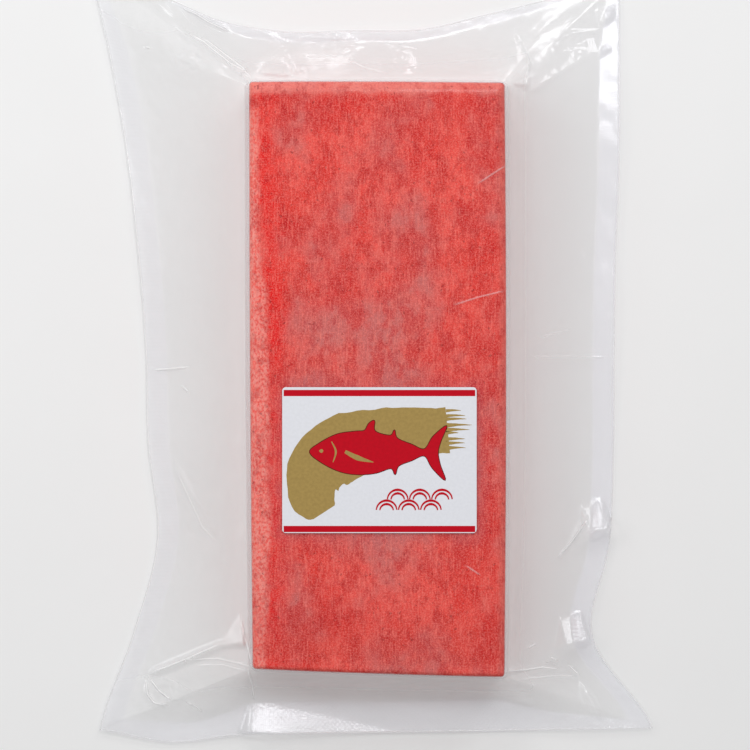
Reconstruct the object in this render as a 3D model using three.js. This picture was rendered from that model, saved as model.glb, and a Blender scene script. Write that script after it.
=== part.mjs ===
// Frozen block of raw tuna loin, vacuum-sealed in a clear pouch that carries a paper label.
// Millimetres, +Z up. The origin is the middle of the block's underside and +Y runs along the block.

import * as THREE from 'three';

// Sides are numbered anticlockwise from above: 0 near, 1 right, 2 far, 3 left.
// Corner k is where side k starts, so corner 0 is near left and corner 2 is far right.
const sideCount = 4;

// The block is saw-cut from a frozen loin, so its faces are flat and its corners almost sharp
const block = {
  corners: [[-35.1, -81.9], [35.4, -84.2], [35.5, 82.4], [-36.1, 82.7]],
  bow: [0.2, 0.5, 0.2, 0.3],           // how far each side swells past its straight line
  height: 20,
  cornerRadius: 1.5,                   // in plan
  topRounding: [1.0, 2.6, 3.0, 2.4],   // how far in from each side the top edge starts to fall
  topDrop: [1.0, 1.8, 2.2, 2.4],       // how far it has fallen where it meets the side
  footRounding: 0.8,
  leastRadius: 0.4,                    // of a corner of the flat top, in plan
  arcSteps: 4,
  footSteps: 2,
  edgeSteps: 5,
  sideSteps: [10, 22, 10, 22],
};

// The pouch is two flat films sealed on all four sides, drawn in by the vacuum between its corners
const pouch = {
  corners: [[-79.5, -101.0], [78.5, -100.5], [69.0, 113.5], [-82.0, 117.5]],
  drawnIn: [                           // at each eighth of a side, from its first corner to its last
    [0, -3.6, -1.6, -1.1, -1.1, -0.9, -0.6, -0.2, 0],
    [0, 15.9, 9.9, 7.5, 6.2, 4.6, 2.4, 1.0, 0],
    [0, 5.8, 11.0, 15.8, 16.6, 17.4, 14.8, 7.4, 0],
    [0, 5.2, 9.6, 12.4, 14.2, 14.6, 17.0, 9.8, 0],
  ],
  thickness: 0.6,                      // both films with the air and frost between them
  rootHeight: 8.5,                     // where the two films part to go over and under the block
  rootOffset: 1.7,                     // how far from the block that happens
  edgeHeight: 1.3,                     // mean height of the sealed edge
  fall: 1.3,                           // above 1, the film drops fast at first and then runs out flat
  foldStart: 0.33,                     // the share of the way out by which a fold has its full height
  skirtGap: 0.3,                       // between the block and the film that clings to its sides
  skirtWall: 0.5,
  skirtTop: 16.8,
  skirtFoot: 0.4,
  arcSteps: 10,
  outSteps: 9,
  outEase: 1.3,                        // above 1, the rows of points stand closer near the block
  sideSteps: [12, 24, 12, 24],
  waves: [                             // of the free edge, counted round the whole pouch
    { count: 5, height: 0.4, phase: 0.8 },
    { count: 13, height: 0.3, phase: 2.1 },
  ],
};

// Tension folds stand up from the film: each runs from one point of the plan to another
const folds = [
  { from: [-37, 84], to: [-66, 114], width: 5, rise: 2.2 },           // far left corner
  { from: [38, 80], to: [68, 97], width: 5, rise: 2.4 },              // far right corner
  { from: [-24, 94], to: [4, 95], width: 4, rise: 1.6 },              // far edge crumple
  { from: [-40, -77], to: [-68, -85], width: 5, rise: 2.2 },          // near left corner
  { from: [37, -84], to: [62, -81], width: 5, rise: 1.8 },            // near right corner
  { from: [-58, -23], to: [-44, -50], width: 4, rise: 1.2 },          // left slant
  { from: [50, -63], to: [60, -46], width: 5, rise: 1.8 },            // right pucker
  { from: [-65, 1.5], to: [-47, 1.5], width: 4, rise: 0.8 },          // left crease
  { from: [38, 5.5], to: [66, 5.5], width: 4, rise: 0.6 },            // right crease
];

// The label is stuck on the film over the block's top
const label = {
  centre: [0.4, -23.4],
  size: [54.4, 40.8],
  cornerRadius: 1.0,
  thickness: 0.3,
  gap: 0.3,                            // to the block, for the film between them
  curveSegments: 5,
};

const tunaMaterial = new THREE.MeshStandardMaterial({ color: '#cf5450', roughness: 0.45, metalness: 0 });
const filmMaterial = new THREE.MeshStandardMaterial({ color: '#e6e8e8', roughness: 0.15, metalness: 0 });
const paperMaterial = new THREE.MeshStandardMaterial({ color: '#e4e6ea', roughness: 0.5, metalness: 0 });
filmMaterial.transparent = true;
filmMaterial.opacity = 0.35;

const vectors = (pairs) => pairs.map(([x, y]) => new THREE.Vector2(x, y));
const next = (k) => (k + 1) % sideCount;
const before = (k) => (k + sideCount - 1) % sideCount;

// One straight side of a plan: where it starts, which way it runs, and which way is out
function sideOf(corners, k) {
  const start = corners[k];
  const run = corners[next(k)].clone().sub(start);
  const length = run.length();
  const along = run.divideScalar(length);
  return { start, length, along, out: new THREE.Vector2(along.y, -along.x) };
}

const blockCorners = vectors(block.corners);
const blockSides = block.corners.map((corner, k) => sideOf(blockCorners, k));
const pouchCorners = vectors(pouch.corners);
const pouchSides = pouch.corners.map((corner, k) => sideOf(pouchCorners, k));
const pouchPulls = pouch.drawnIn.map((pulls) => (
  new THREE.SplineCurve(pulls.map((pull, i) => new THREE.Vector2(i / (pulls.length - 1), pull)))
));

// Where corner k of the block lands when the sides beside it move out by growFrom and growTo
function movedCorner(k, growFrom, growTo) {
  const a = blockSides[before(k)];
  const b = blockSides[k];
  const turn = a.along.x * b.along.y - a.along.y * b.along.x;
  const moved = b.start.clone();
  moved.addScaledVector(a.along, growTo / turn);
  moved.addScaledVector(b.along, -growFrom / turn);
  return moved;
}

// The block's outline with each side moved out by its own amount, and each point's place round it:
// spot.corner with a turn from 0 to 1, or spot.side with a share of that side from 0 to 1
function blockOutline(grow, radius, arcSteps, sideSteps) {
  const points = [];
  const spots = [];
  for (let k = 0; k < sideCount; k += 1) {
    const centre = movedCorner(k, grow[before(k)] - radius, grow[k] - radius);
    const firstAngle = blockSides[before(k)].out.angle();
    const turn = (blockSides[k].out.angle() - firstAngle + 2 * Math.PI) % (2 * Math.PI);
    for (let i = 0; i <= arcSteps; i += 1) {
      const angle = firstAngle + turn * (i / arcSteps);
      points.push(new THREE.Vector2(Math.cos(angle), Math.sin(angle)).multiplyScalar(radius).add(centre));
      spots.push({ corner: k, share: i / arcSteps });
    }
    const sideStart = points[points.length - 1];
    const far = movedCorner(next(k), grow[k] - radius, grow[next(k)] - radius);
    const sideEnd = far.addScaledVector(blockSides[k].out, radius);
    for (let i = 1; i < sideSteps[k]; i += 1) {
      const share = (1 - Math.cos(Math.PI * (i / sideSteps[k]))) / 2;
      const point = sideStart.clone().lerp(sideEnd, share);
      point.addScaledVector(blockSides[k].out, block.bow[k] * 4 * share * (1 - share));
      points.push(point);
      spots.push({ side: k, share });
    }
  }
  return { points, spots };
}

// A point of the pouch's sealed edge, at a share from 0 to 1 of side k
function pouchEdge(k, share) {
  const side = pouchSides[k];
  const point = side.start.clone().addScaledVector(side.along, side.length * share);
  return point.addScaledVector(side.out, -pouchPulls[k].getPoint(share).y);
}

// How far along pouch side k the block's corner lies, as a share of that side
function cornerShare(k, corner) {
  const side = pouchSides[k];
  return blockCorners[corner].clone().sub(side.start).dot(side.along) / side.length;
}

// The sealed edge's point that belongs to a spot of the block's outline: straight out from the sides,
// and spread over the whole corner of the pouch from each corner of the block
function edgeSpot(spot) {
  if (spot.side !== undefined) {
    const from = cornerShare(spot.side, spot.side);
    const to = cornerShare(spot.side, next(spot.side));
    return { side: spot.side, share: from + (to - from) * spot.share };
  }
  const { corner } = spot;
  if (spot.share < 0.5) {
    const from = cornerShare(before(corner), corner);
    return { side: before(corner), share: from + (1 - from) * spot.share * 2 };
  }
  return { side: corner, share: cornerShare(corner, corner) * (spot.share * 2 - 1) };
}

// How high the tension folds lift the film at a point of the plan
function foldRise(point) {
  let rise = 0;
  for (const fold of folds) {
    const [from, to] = vectors([fold.from, fold.to]);
    const run = to.clone().sub(from);
    const share = THREE.MathUtils.clamp(point.clone().sub(from).dot(run) / run.lengthSq(), 0, 1);
    const away = point.distanceTo(from.addScaledVector(run, share)) / fold.width;
    rise += fold.rise * Math.exp(-away * away);
  }
  return rise;
}

// Height of the middle of the sealed film, out is 0 at its root and 1 at the pouch's edge
function filmHeight(point, round, out) {
  const { rootHeight, edgeHeight, fall, foldStart, thickness, waves } = pouch;
  let height = edgeHeight + (rootHeight - edgeHeight) * (1 - out) ** fall;
  for (const wave of waves) {
    height += wave.height * out * Math.sin(wave.count * 2 * Math.PI * round + wave.phase);
  }
  height += foldRise(point) * Math.min(1, out / foldStart);
  return Math.max(height, thickness);
}

// Closed surface through rings of equally many points: a tube that meets itself, or one with two caps
function ringSolid(rings, capped) {
  const size = rings[0].length;
  const positions = rings.flat().flatMap((point) => [point.x, point.y, point.z]);
  const faces = [];
  const last = capped ? rings.length - 1 : rings.length;
  for (let r = 0; r < last; r += 1) {
    const above = ((r + 1) % rings.length) * size;
    for (let i = 0; i < size; i += 1) {
      const j = (i + 1) % size;
      faces.push(r * size + i, r * size + j, above + j, r * size + i, above + j, above + i);
    }
  }
  if (capped) {
    addCap(positions, faces, rings[0], 0, true);
    addCap(positions, faces, rings[last], last * size, false);
  }
  const geometry = new THREE.BufferGeometry();
  geometry.setAttribute('position', new THREE.Float32BufferAttribute(positions, 3));
  geometry.setIndex(faces);
  geometry.computeVertexNormals();
  return geometry;
}

// A flat end: a fan of triangles from the middle of the ring
function addCap(positions, faces, ring, first, facesDown) {
  const middle = positions.length / 3;
  const centre = new THREE.Vector3();
  ring.forEach((point) => centre.add(point));
  positions.push(centre.x / ring.length, centre.y / ring.length, ring[0].z);
  for (let i = 0; i < ring.length; i += 1) {
    const j = (i + 1) % ring.length;
    const edge = facesDown ? [first + j, first + i] : [first + i, first + j];
    faces.push(...edge, middle);
  }
}

const raised = (points, height) => points.map((point) => new THREE.Vector3(point.x, point.y, height));

function tunaBlockGeometry() {
  const { height, cornerRadius, topRounding, topDrop, footRounding } = block;
  const { arcSteps, footSteps, edgeSteps, sideSteps } = block;
  const rings = [];
  for (let i = 0; i <= footSteps; i += 1) {
    const angle = (Math.PI / 2) * (i / footSteps);
    const inset = footRounding * (1 - Math.sin(angle));
    const grow = block.corners.map(() => -inset);
    const { points } = blockOutline(grow, cornerRadius - inset, arcSteps, sideSteps);
    rings.push(raised(points, footRounding * (1 - Math.cos(angle))));
  }
  for (let i = 0; i <= edgeSteps; i += 1) {
    const angle = (Math.PI / 2) * (i / edgeSteps);
    const grow = topRounding.map((rounding) => -rounding * (1 - Math.cos(angle)));
    const radius = Math.max(cornerRadius + Math.min(...grow), block.leastRadius);
    const { points, spots } = blockOutline(grow, radius, arcSteps, sideSteps);
    rings.push(points.map((point, n) => {
      const fallen = dropAt(spots[n], topDrop) * (1 - Math.sin(angle));
      return new THREE.Vector3(point.x, point.y, height - fallen);
    }));
  }
  return ringSolid(rings, true);
}

// The top edge's drop at a spot of the outline, passing smoothly from one side to the next
function dropAt(spot, drops) {
  if (spot.side !== undefined) {
    return drops[spot.side];
  }
  return THREE.MathUtils.lerp(drops[before(spot.corner)], drops[spot.corner], spot.share);
}

function vacuumPouchGeometry() {
  const { skirtGap, skirtWall, skirtTop, skirtFoot, rootOffset, rootHeight } = pouch;
  const { thickness, outSteps, outEase } = pouch;
  const outlineAt = (offset) => blockOutline(
    block.corners.map(() => offset), block.cornerRadius + offset, pouch.arcSteps, pouch.sideSteps,
  );
  const inner = outlineAt(skirtGap).points;
  const outer = outlineAt(skirtGap + skirtWall).points;
  const root = outlineAt(rootOffset);
  const edge = root.spots.map((spot) => {
    const place = edgeSpot(spot);
    return { point: pouchEdge(place.side, place.share), round: (place.side + place.share) / sideCount };
  });
  const flange = (out, lift) => root.points.map((start, n) => {
    const point = start.clone().lerp(edge[n].point, out);
    return new THREE.Vector3(point.x, point.y, filmHeight(point, edge[n].round, out) + lift);
  });
  const stepsOut = Array.from({ length: outSteps + 1 }, (_, i) => (i / outSteps) ** outEase);
  const rings = [raised(inner, skirtFoot), raised(outer, skirtFoot)];
  rings.push(raised(outer, rootHeight - 2 * thickness));
  rings.push(...stepsOut.map((out) => flange(out, -thickness / 2)));
  rings.push(...stepsOut.reverse().map((out) => flange(out, thickness / 2)));
  rings.push(raised(outer, rootHeight + 2 * thickness));
  rings.push(raised(outer, skirtTop), raised(inner, skirtTop));
  return ringSolid(rings, false);
}

function labelGeometry() {
  const [halfWidth, halfLength] = label.size.map((length) => length / 2);
  const radius = label.cornerRadius;
  const outline = new THREE.Shape();
  outline.absarc(halfWidth - radius, halfLength - radius, radius, 0, Math.PI / 2);
  outline.absarc(radius - halfWidth, halfLength - radius, radius, Math.PI / 2, Math.PI);
  outline.absarc(radius - halfWidth, radius - halfLength, radius, Math.PI, 1.5 * Math.PI);
  outline.absarc(halfWidth - radius, radius - halfLength, radius, 1.5 * Math.PI, 2 * Math.PI);
  const { thickness, curveSegments } = label;
  return new THREE.ExtrudeGeometry(outline, { depth: thickness, bevelEnabled: false, curveSegments });
}

function named(name, geometry, material) {
  const mesh = new THREE.Mesh(geometry, material);
  mesh.name = name;
  return mesh;
}

const tunaPack = new THREE.Group();
tunaPack.add(named('tuna_block', tunaBlockGeometry(), tunaMaterial));
tunaPack.add(named('vacuum_pouch', vacuumPouchGeometry(), filmMaterial));
const labelMesh = named('label', labelGeometry(), paperMaterial);
labelMesh.position.set(label.centre[0], label.centre[1], block.height + label.gap);
tunaPack.add(labelMesh);

export default tunaPack;
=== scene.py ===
import math
import random

import bpy
import numpy as np
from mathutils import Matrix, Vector, noise


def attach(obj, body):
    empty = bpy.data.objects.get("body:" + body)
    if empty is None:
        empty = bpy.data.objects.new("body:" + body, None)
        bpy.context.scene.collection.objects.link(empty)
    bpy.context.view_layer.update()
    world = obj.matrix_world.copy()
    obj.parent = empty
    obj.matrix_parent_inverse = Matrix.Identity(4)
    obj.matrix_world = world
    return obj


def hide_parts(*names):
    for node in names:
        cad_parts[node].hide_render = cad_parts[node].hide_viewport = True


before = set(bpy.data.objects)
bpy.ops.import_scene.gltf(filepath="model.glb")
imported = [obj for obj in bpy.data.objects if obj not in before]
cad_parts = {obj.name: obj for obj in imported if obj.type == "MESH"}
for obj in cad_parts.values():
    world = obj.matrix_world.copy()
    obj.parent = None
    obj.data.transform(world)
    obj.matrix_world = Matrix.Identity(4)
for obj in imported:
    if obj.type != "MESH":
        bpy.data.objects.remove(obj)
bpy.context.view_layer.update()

# A frozen block of raw tuna loin in its vacuum pouch, seen from straight above.
# Lengths in the dictionaries are millimetres, and mm turns them into Blender's metres.
mm = 0.001
print("frame loaded:", sorted(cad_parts))


# Small helpers

def linearColour(hexCode):  # sRGB hex to the linear values that a shader wants
    channels = [int(hexCode[i:i + 2], 16) / 255 for i in (1, 3, 5)]
    return [c / 12.92 if c <= 0.04045 else ((c + 0.055) / 1.055) ** 2.4 for c in channels] + [1.0]


def addNode(tree, kind, values=None, links=None, **settings):  # values and links go by socket
    node = tree.nodes.new("ShaderNode" + kind)
    for name, value in settings.items():
        setattr(node, name, value)
    for socket, value in (values or {}).items():
        node.inputs[socket].default_value = value
    for socket, source in (links or {}).items():
        tree.links.new(source, node.inputs[socket])
    return node


def newMaterial(name):
    material = bpy.data.materials.new(name)
    material.use_nodes = True
    material.node_tree.nodes.clear()
    return material, material.node_tree


def meshObject(name, points, faces, material, layers=None):  # points in mm, layers hold a number a point
    mesh = bpy.data.meshes.new(name)
    mesh.from_pydata((np.asarray(points) * mm).tolist(), [], faces)
    for layer, values in (layers or {}).items():
        numbers = np.asarray(values, np.float32)
        mesh.attributes.new(layer, "FLOAT", "POINT").data.foreach_set("value", numbers)
    mesh.polygons.foreach_set("use_smooth", [True] * len(mesh.polygons))
    mesh.materials.append(material)
    mesh.update()
    piece = bpy.data.objects.new(name, mesh)
    bpy.context.scene.collection.objects.link(piece)
    return piece


def smoothStep(low, high, value):
    share = np.clip((value - low) / (high - low), 0, 1)
    return share * share * (3 - 2 * share)


def noiseAt(points, size, octaves=3, seed=0.0):  # smooth noise, its grains size mm wide, about -1 to 1
    spots = np.asarray(points)[:, :2] / size + seed
    return np.array([noise.fractal(Vector((x, y, seed)), 0.6, 2.0, octaves) for x, y in spots])


# Rings and skins: a skin grows ring by ring, and each end is closed by a patch

def joinRings(first, last, faces):  # first and last are lists of point numbers that turn the same way
    if len(first) == len(last):
        for i in range(len(first)):
            j = (i + 1) % len(first)
            faces.append((first[i], first[j], last[j], last[i]))
        return
    i = j = 0  # rings of unlike counts are zipped together with triangles
    while i < len(first) or j < len(last):
        here, there = first[i % len(first)], last[j % len(last)]
        if (i + 1) / len(first) <= (j + 1) / len(last) and i < len(first):
            i += 1
            faces.append((here, first[i % len(first)], there))
        else:
            j += 1
            faces.append((here, last[j % len(last)], there))


def fillRing(ring, layout, facesUp, points, faces, height):  # a grid stretched over a ring of four sides
    across, along = layout["across"], layout["along"]
    outline = np.array([points[n] for n in ring])
    near = outline[:across + 1]
    right = outline[across:across + along + 1]
    far = outline[across + along:2 * across + along + 1][::-1]
    left = np.vstack([outline[2 * across + along:], outline[:1]])[::-1]
    u = np.linspace(0, 1, across + 1)[None, :, None]
    v = np.linspace(0, 1, along + 1)[:, None, None]
    grid = (1 - v) * near[None] + v * far[None] + (1 - u) * left[:, None] + u * right[:, None]
    grid -= (1 - v) * ((1 - u) * near[0] + u * near[-1]) + v * ((1 - u) * far[0] + u * far[-1])
    numbers = np.zeros((along + 1, across + 1), int)
    numbers[0, :] = ring[:across + 1]
    numbers[:, across] = ring[across:across + along + 1]
    numbers[along, ::-1] = ring[across + along:2 * across + along + 1]
    numbers[:0:-1, 0] = ring[2 * across + along:]
    inner = grid[1:-1, 1:-1].reshape(-1, 3)
    inner[:, 2] = height(inner)
    numbers[1:-1, 1:-1] = len(points) + np.arange(len(inner)).reshape(along - 1, across - 1)
    points.extend(inner)
    for row, above in zip(numbers[:-1], numbers[1:]):
        for i in range(across):
            square = (row[i], row[i + 1], above[i + 1], above[i])
            faces.append(tuple(int(n) for n in (square if facesUp else square[::-1])))


# The block's plan, which the tuna and the film share.
# Sides run anticlockwise from above: 0 near, 1 right, 2 far, 3 left, and corner k is where side k starts.

blockPlan = {
    "corners": [(-35.1, -81.9), (35.4, -84.2), (35.5, 82.4), (-36.1, 82.7)],
    "bow": [0.2, 0.5, 0.2, 0.3],          # how far each side swells past its straight line
    "height": 20.0,
    "cornerRadius": 1.0,
    "topRounding": [1.0, 2.6, 3.0, 2.4],  # how far in from each side the top edge starts to fall
    "topDrop": [1.0, 1.8, 2.2, 2.4],      # and how far it has fallen at the side
    "footRounding": 0.8,
    "relief": 0.12,                       # how uneven the sawn top is
    "reliefSize": 16.0,
    "reliefLift": -0.6,                   # most of it lies below the height
    "flatTopRadius": 0.4,                 # of the flat top's corners, at least
    "halfSpan": (36.0, 83.0),             # half the width and half the length
    "cornerBlend": 8,                     # the higher, the shorter two sides blend round a corner
    "crowding": 0.4,                      # how much closer the mesh's points stand near a side's ends
}


def planSides(corners):
    sides = []
    for k in range(4):
        start = np.array(corners[k], float)
        run = np.array(corners[(k + 1) % 4], float) - start
        length = np.linalg.norm(run)
        along = run / length
        out = np.array([along[1], -along[0]])
        sides.append({"start": start, "along": along, "length": length, "out": out})
    return sides


blockSides = planSides(blockPlan["corners"])


def movedCorner(k, growFrom, growTo):  # where corner k goes when the sides before and after it move out
    a, b = blockSides[k - 1], blockSides[k]
    turn = a["along"][0] * b["along"][1] - a["along"][1] * b["along"][0]
    return b["start"] + a["along"] * growTo / turn - b["along"] * growFrom / turn


def cornerPoint(k, share, grow, radius):  # share runs from 0 to 1 round the corner's arc
    centre = movedCorner(k, grow[k - 1] - radius, grow[k] - radius)
    before, after = blockSides[k - 1]["out"], blockSides[k]["out"]
    first = math.atan2(before[1], before[0])
    angle = first + share * ((math.atan2(after[1], after[0]) - first) % (2 * math.pi))
    return centre + radius * np.array([math.cos(angle), math.sin(angle)])


def sideShares(k, layout):  # where a ring's points stand along side k, a little closer near its ends
    cells = (layout["across"], layout["along"])[k % 2] - 2 * layout["arc"]
    even = np.linspace(0, 1, cells + 1)
    crowding = blockPlan["crowding"]
    return (1 - crowding) * even + crowding * (1 - np.cos(math.pi * even)) / 2


def blockRing(grow, radius, layout):  # the block's outline with each side moved out, in plan
    points = []
    arc = layout["arc"]
    for k in range(4):
        following = (k + 1) % 4
        start = cornerPoint(k, 1, grow, radius)
        end = cornerPoint(following, 0, grow, radius)
        points += [cornerPoint(k, 0.5 + 0.5 * i / arc, grow, radius) for i in range(arc)]
        for share in sideShares(k, layout):
            bow = blockPlan["bow"][k] * 4 * share * (1 - share)
            points.append(start + (end - start) * share + blockSides[k]["out"] * bow)
        points += [cornerPoint(following, 0.5 * i / arc, grow, radius) for i in range(1, arc)]
    return np.array(points)


def blockTop(points):  # height of the sawn top, slightly uneven
    bumps = noiseAt(points, blockPlan["reliefSize"]) + blockPlan["reliefLift"]
    return blockPlan["height"] + blockPlan["relief"] * bumps


def topEdgeRing(turn, offset, layout):  # turn is 0 at the side and 1 on the flat top, offset is outwards
    angle = turn * math.pi / 2
    grow = [-r * (1 - math.cos(angle)) + offset * math.cos(angle) for r in blockPlan["topRounding"]]
    radius = max(blockPlan["cornerRadius"] + min(grow), blockPlan["flatTopRadius"])
    ring = blockRing(grow, radius, layout)
    middle = ring.mean(axis=0)
    facing = (ring - middle) / blockPlan["halfSpan"]  # rough direction, to share out the drop
    facing = np.sign(facing) * np.abs(facing) ** blockPlan["cornerBlend"]
    towards = (-facing[:, 1], facing[:, 0], facing[:, 1], -facing[:, 0])
    weights = np.stack([np.maximum(share, 0) for share in towards])
    drop = np.array(blockPlan["topDrop"]) @ (weights / weights.sum(axis=0))
    height = blockTop(ring) + offset * math.sin(angle) - drop * (1 - math.sin(angle))
    return np.column_stack([ring, height])


def levelRing(grow, height, layout):
    ring = blockRing([grow] * 4, blockPlan["cornerRadius"] + grow, layout)
    return np.column_stack([ring, np.full(len(ring), height)])


def buildSkin(rings, bottom, top):  # bottom and top are (layout, height function) of the closing patches
    points, faces, numbers = [], [], []
    for ring in rings:
        numbers.append(list(range(len(points), len(points) + len(ring))))
        points.extend(ring)
    for lower, upper in zip(numbers[:-1], numbers[1:]):
        joinRings(lower, upper, faces)
    fillRing(numbers[0], bottom[0], False, points, faces, bottom[1])
    fillRing(numbers[-1], top[0], True, points, faces, top[1])
    return np.array(points), faces


# Raw tuna: frozen lean flesh, sawn into a block

tuna = {
    "fine": {"across": 120, "along": 276, "arc": 2},  # cells across, along and round half a corner
    "edgeRings": 7,
    "sideRings": 9,
    "footRings": 4,
    "footLift": 0.1,            # room for the film under the foot
    "base": "#F0544A",
    "roughness": 0.45,
    "ior": 1.38,                # wet flesh
    "shine": 0.1,               # low, because the film lies on it
    "glow": 0.2,                # share of light that wanders through the flesh
    "glowReach": 0.8,
    "grainSize": 0.6,
    "grainDepth": 0.08,
    "frost": "#E9A79E",         # on the sides, under the bridging film; partly frost and partly a painted highlight that whitens the sides
    "frostShare": 0.5,
    "frostRise": (12.0, 18.5),  # full below the first height and gone above the second
    "frostPatches": (7, 10, 5),  # size across and along, detail
    # rime and a painted highlight on the top along the left edge: place along it and width there
    "frostReach": [(-83, 3.6), (-40, 5.2), (20, 4.8), (36, 2.8), (83, 2.4)],
    # noise laid over the base: size across and along the block, detail,
    # where it starts and where it is full, colour, share
    "patterns": [
        (8, 14, 5, 0.42, 0.62, "#E0241E", 0.70),         # deeper red muscle
        (20, 24, 8, 0.42, 0.64, "#C87472", 0.80),        # bloom of frost under the film
        (5, 7.5, 6, 0.48, 0.62, "#CE1C1E", 0.68),
    ],
    "grains": [  # the same, but finer and laid over the bands
        (2.4, 3.2, 5, 0.48, 0.68, "#BE1018", 0.52),
        (1.7, 2.2, 5, 0.48, 0.72, "#F0685C", 0.30),
        (1.2, 1.5, 2, 0.67, 0.72, "#8E0A12", 0.60),      # blood spots
        (0.36, 3.6, 3, 0.48, 0.70, "#F8887C", 0.40),     # fibres along the block
        (0.60, 0.74, 4, 0.42, 0.72, "#AE0E16", 0.22),    # pores
        (0.46, 0.50, 4, 0.44, 0.68, "#FF9A8E", 0.34),    # ice grains
    ],
    "wander": (6, 8, 3),        # noise that the bands wander by: size across and along, detail
    "patchLength": 1.3,         # of the bands' patches, in widths
    # most of these bands are painted light and shade: pale highlights and red glow at the lit edges, dark
    # shade at the near edge and round the label
    # bands along the edges: layer, rising from and to, falling from and to (mm in), wobble, patchiness,
    # size of the patches, colour, share
    "bands": [
        # painted glow: bright red where light entering the lit left edge shines through the flesh
        ("pastRimeAndSheen", -0.4, 1.4, 2.0, 8.5, 1.2, 0.35, 9, "#EC0C08", 0.90),
        # partly rime, partly a painted highlight where the rounded left edge catches the light
        ("pastRimeAndSheen", -20.0, -19.0, -1.4, 1.2, 0.7, 0.45, 9, "#FC6A5E", 0.72),
        ("pastRimeAndSheen", -20.0, -19.0, -0.8, 1.0, 0.7, 1.00, 0.7, "#FFCEC2", 0.40),
        # painted highlight: pale strip where the rounded far edge tilts to the light
        ("fromFar", -1.0, 0.0, 2.2, 4.4, 0.7, 0.35, 9, "#F08A80", 0.85),
        # painted glow: saturated red where light shines through the flesh inside the far edge
        ("fromFar", 2.4, 5.0, 6.4, 18.0, 0.9, 0.80, 9, "#DA1410", 0.72),
        # painted highlight: pale strip on the rounded right edge
        ("fromRight", -1.0, 0.0, 1.2, 2.6, 0.4, 0.30, 9, "#E27068", 0.70),
        # painted glow: saturated red where light shines through the flesh inside the right edge
        ("fromRight", 1.6, 4.0, 5.0, 11.0, 1.6, 0.80, 9, "#D81814", 0.72),
        # painted shade: dark red strip on the near edge, which faces away from the light
        ("fromNear", -1.0, 0.0, 0.5, 1.6, 0.3, 0.40, 9, "#A01614", 0.55),
        ("fromNear", 0.6, 5.0, 6.0, 24.0, 2.4, 0.70, 9, "#C81412", 0.50),
        # painted shade round the label: partly its shadow, partly duller flesh where the film lifts off
        ("fromLabel", -30.0, -29.0, 0.0, 5.5, 1.2, 0.50, 9, "#B46068", 0.38),
    ],
}


def tunaMesh():
    layout = tuna["fine"]
    foot = blockPlan["footRounding"]
    rings = []
    lift = tuna["footLift"]
    for i in range(tuna["footRings"]):
        angle = math.pi / 2 * i / (tuna["footRings"] - 1)
        rings.append(levelRing(-foot * (1 - math.sin(angle)), foot * (1 - math.cos(angle)) + lift, layout))
    low, high = foot + lift, blockPlan["height"] - max(blockPlan["topDrop"])
    for i in range(1, tuna["sideRings"]):
        rings.append(levelRing(0, low + (high - low) * i / tuna["sideRings"], layout))
    for i in range(tuna["edgeRings"] + 1):
        rings.append(topEdgeRing(i / tuna["edgeRings"], 0, layout))
    return buildSkin(rings, (layout, lambda p: np.full(len(p), lift)), (layout, blockTop))


def fromEdges(points):  # distance in from each side of the block's outline
    return [
        (side["start"] - points[:, :2]) @ side["out"] + blockPlan["bow"][k]
        for k, side in enumerate(blockSides)
    ]


# The label's place is needed already here, because a painted shade darkens the flesh round it: partly the
# label's shadow, partly duller flesh where the film lifts off
label = {
    "centre": (0.4, -23.4),
    "size": (54.4, 40.8),
    "top": 20.6,
    "ink": 0.015,               # step from one layer of ink to the next
    "inkBody": 1.6,             # each ink's thickness in steps, so that it sinks into what is below
    "fibre": 0.9,               # size of the tone's grain
    "roughness": 0.4,
    "fleck": 0.02,              # how much the paper's tone varies
    "shine": 0.1,               # of the paper and the inks
    "bandFeet": (-20.15, 17.9),
    "bandWidth": 1.75,
    "bandEnd": 0.4,             # bare paper past the bands' ends
    "paper": "#E9EAF0",
    "red": "#C4001C",
    "gold": "#A98E52",
    "outline": "#5A1210",
    "outlineWidth": 0.22,
    # dry bristles where the brush lifts off: how many, the lowest and how high they spread, start, ends
    "bristles": {"count": 9, "lowest": 3.4, "spread": 10.6, "start": 18.6, "ends": (21.8, 26.0)},
    "waveFeet": [(2.0, -14.2), (8.2, -14.2), (14.4, -14.2), (5.1, -11.2), (11.3, -11.2), (17.5, -11.2)],
    "waveRadii": (2.9, 1.9),
    "waveWidths": [0.35, 0.7, 0.35],
}


def fromLabel(points):
    outside = np.abs(points[:, :2] - label["centre"]) - np.array(label["size"]) / 2
    return np.linalg.norm(np.maximum(outside, 0), axis=1) + np.minimum(outside.max(axis=1), 0)


def patternNode(tree, place, across, along, detail, seed):  # noise with grains of that size in mm
    scale = (1 / (across * mm), 1 / (along * mm), 1 / (across * mm))
    spot = addNode(tree, "Mapping", {"Scale": scale, "Location": (seed * 7.3, seed * 3.1, seed * 5.7)},
                   {"Vector": place})
    return addNode(tree, "TexNoise", {"Scale": 1.0, "Detail": detail, "Roughness": 0.55},
                   {"Vector": spot.outputs[0]}).outputs["Fac"]


def rangeNode(tree, value, fromLow, fromHigh, toLow, toHigh):
    return addNode(tree, "MapRange", {1: fromLow, 2: fromHigh, 3: toLow, 4: toHigh}, {0: value},
                   interpolation_type="SMOOTHSTEP").outputs[0]


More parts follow.
